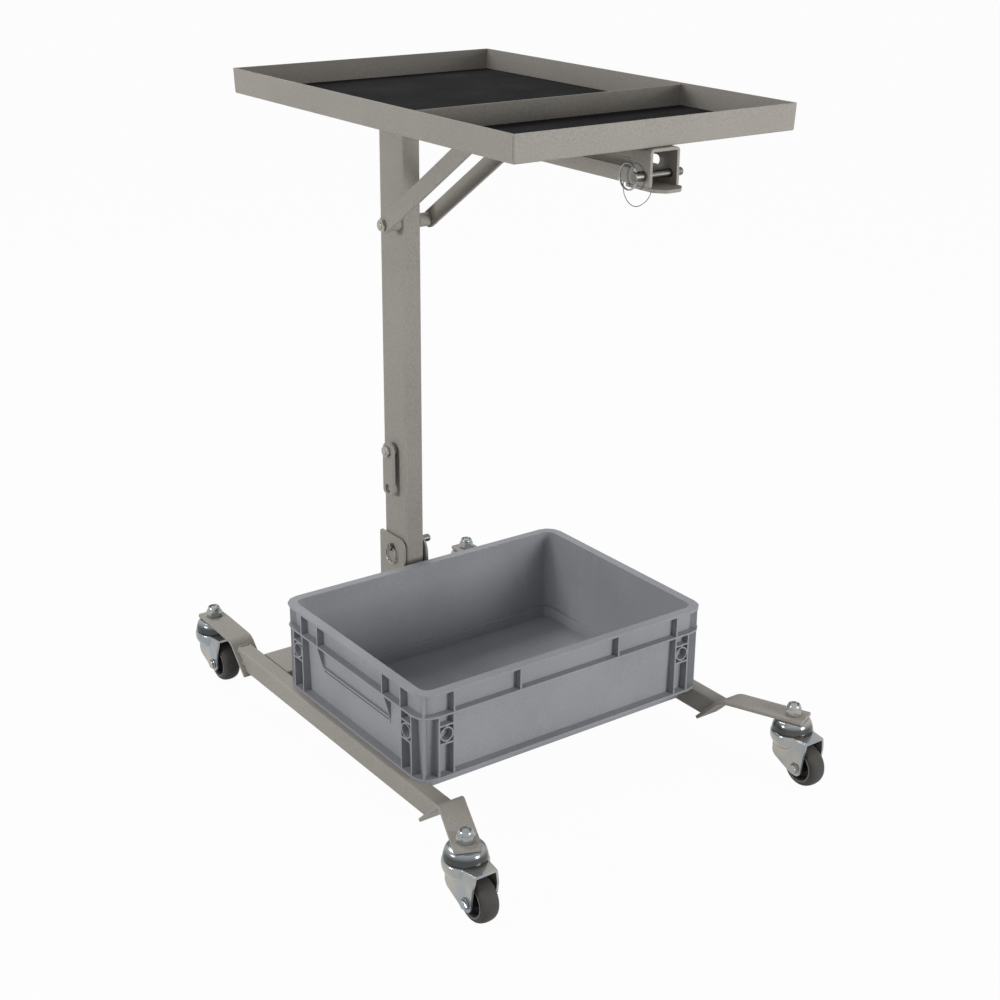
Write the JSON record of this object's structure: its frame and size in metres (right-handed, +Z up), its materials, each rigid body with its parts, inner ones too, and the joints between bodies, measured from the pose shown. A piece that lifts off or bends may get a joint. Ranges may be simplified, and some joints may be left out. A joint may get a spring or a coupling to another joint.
{
  "type": "folding mobile workstand",
  "caption": "Folding mobile workstand: a castored steel base with a lift-out storage box, a folding mast, and a hinged tool tray held by flat braces.",
  "frame": {"origin": "on the floor, at the centre of the stand's outer box", "axes": "+Z up, -Y the front, where the tray reaches out and the casters splay; +X to the user's right seen from behind the mast"},
  "size_m": [0.508, 0.6884, 0.7746],
  "materials": {
    "paint": "satin silver-grey powder coat",
    "zinc": "bright zinc plating",
    "pin_steel": "plain bright steel",
    "box_plastic": "moulded grey polypropylene, slight sheen",
    "mat_rubber": "fine-ribbed black rubber",
    "tyre": "matt dark grey rubber tread",
    "hub": "moulded dark plastic"
  },
  "bodies": {
    "base": {"left_rail": "paint", "right_rail": "paint", "rear_cross_member": "paint", "mast_bracket": "paint", "front_left_caster_strip": "paint", "front_left_swivel_cup": "zinc", "front_left_stem_nut": "zinc", "front_right_caster_strip": "paint", "front_right_swivel_cup": "zinc", "front_right_stem_nut": "zinc", "rear_left_caster_strip": "paint", "rear_left_swivel_cup": "zinc", "rear_left_stem_nut": "zinc", "rear_right_caster_strip": "paint", "rear_right_swivel_cup": "zinc", "rear_right_stem_nut": "zinc"},
    "front_left_caster": {"front_left_fork": "zinc", "front_left_axle_bolt": "zinc"},
    "front_left_wheel": {"front_left_hub": "hub", "front_left_tyre": "tyre"},
    "front_right_caster": {"front_right_fork": "zinc", "front_right_axle_bolt": "zinc"},
    "front_right_wheel": {"front_right_hub": "hub", "front_right_tyre": "tyre"},
    "rear_left_caster": {"rear_left_fork": "zinc", "rear_left_axle_bolt": "zinc"},
    "rear_left_wheel": {"rear_left_hub": "hub", "rear_left_tyre": "tyre"},
    "rear_right_caster": {"rear_right_fork": "zinc", "rear_right_axle_bolt": "zinc"},
    "rear_right_wheel": {"rear_right_hub": "hub", "rear_right_tyre": "tyre"},
    "mast": {"mast_tube": "paint", "mast_head": "paint", "left_brace_spacer": "paint", "right_brace_spacer": "paint", "brace_pivot_bolt": "zinc", "brace_pivot_nut": "zinc", "link_bolt": "zinc"},
    "tray": {"tray_pan": "paint", "tray_divider": "paint", "front_mat": "mat_rubber", "rear_mat": "mat_rubber", "tray_channel": "paint", "channel_front_tab": "paint", "hinge_bolt": "zinc", "hinge_nut": "zinc", "keeper_wire": "pin_steel"},
    "braces": {"left_brace": "paint", "right_brace": "paint"},
    "slide_pin": {"brace_slide_pin": "pin_steel"},
    "lock_pin": {"lock_pin": "pin_steel"},
    "lock_ring": {"lock_pin_ring": "pin_steel"},
    "fold_pin": {"fold_pin": "pin_steel"},
    "fold_ring": {"fold_pin_ring": "pin_steel"},
    "link": {"folding_link": "paint"},
    "box": {"storage_box": "box_plastic"}
  },
  "joints": [
    {"name": "front_left_swivel", "type": "hinge", "parent": "base", "child": "front_left_caster", "pos_m": [-0.229, -0.29575, 0.0755], "axis": [0, 0, 1], "continuous": true},
    {"name": "front_left_wheel_spin", "type": "hinge", "parent": "front_left_caster", "child": "front_left_wheel", "pos_m": [-0.229, -0.31925, 0.025], "axis": [1, 0, 0], "continuous": true},
    {"name": "front_right_swivel", "type": "hinge", "parent": "base", "child": "front_right_caster", "pos_m": [0.229, -0.29575, 0.0755], "axis": [0, 0, 1], "continuous": true},
    {"name": "front_right_wheel_spin", "type": "hinge", "parent": "front_right_caster", "child": "front_right_wheel", "pos_m": [0.229, -0.31925, 0.025], "axis": [1, 0, 0], "continuous": true},
    {"name": "rear_left_swivel", "type": "hinge", "parent": "base", "child": "rear_left_caster", "pos_m": [-0.197, 0.31925, 0.0755], "axis": [0, 0, 1], "continuous": true},
    {"name": "rear_left_wheel_spin", "type": "hinge", "parent": "rear_left_caster", "child": "rear_left_wheel", "pos_m": [-0.197, 0.29575, 0.025], "axis": [1, 0, 0], "continuous": true},
    {"name": "rear_right_swivel", "type": "hinge", "parent": "base", "child": "rear_right_caster", "pos_m": [0.197, 0.31925, 0.0755], "axis": [0, 0, 1], "continuous": true},
    {"name": "rear_right_wheel_spin", "type": "hinge", "parent": "rear_right_caster", "child": "rear_right_wheel", "pos_m": [0.197, 0.29575, 0.025], "axis": [1, 0, 0], "continuous": true},
    {"name": "mast_fold", "type": "hinge", "parent": "base", "child": "mast", "pos_m": [0, 0.17125, 0.1845], "axis": [-1, 0, 0], "range_deg": [0, 90]},
    {"name": "tray_fold", "type": "hinge", "parent": "mast", "child": "tray", "pos_m": [0, 0.14325, 0.7097], "axis": [1, 0, 0], "range_deg": [0, 90]},
    {"name": "brace_swing", "type": "hinge", "parent": "mast", "child": "braces", "pos_m": [0, 0.15575, 0.597], "axis": [1, 0, 0], "range_deg": [0, 117]},
    {"name": "slide_pin_travel", "type": "slide", "parent": "tray", "child": "slide_pin", "axis": [0, -1, 0], "range_m": [0, 0.1647]},
    {"name": "lock_pin_pull", "type": "slide", "parent": "tray", "child": "lock_pin", "axis": [-1, 0, 0], "range_m": [0, 0.055]},
    {"name": "lock_ring_swing", "type": "hinge", "parent": "lock_pin", "child": "lock_ring", "pos_m": [-0.02595, -0.28175, 0.7212], "axis": [0, 0, 1], "range_deg": [0, 180]},
    {"name": "fold_pin_pull", "type": "slide", "parent": "base", "child": "fold_pin", "axis": [-1, 0, 0], "range_m": [0, 0.06]},
    {"name": "fold_ring_swing", "type": "hinge", "parent": "fold_pin", "child": "fold_ring", "pos_m": [-0.02045, 0.17125, 0.1841], "axis": [0, 1, 0], "range_deg": [0, 90]},
    {"name": "link_swing", "type": "hinge", "parent": "mast", "child": "link", "pos_m": [-0.0185, 0.17225, 0.3125], "axis": [-1, 0, 0], "range_deg": [-40, 55.53]},
    {"name": "box_lift", "type": "slide", "parent": "base", "child": "box", "axis": [0, -0.7071, 0.7071], "range_m": [0, 0.35]}
  ],
  "couplings": [
    {"joint": "brace_swing", "follows": "tray_fold", "ratio": 1.2921},
    {"joint": "slide_pin_travel", "follows": "tray_fold", "m_per_rad": 0.10456}
  ]
}
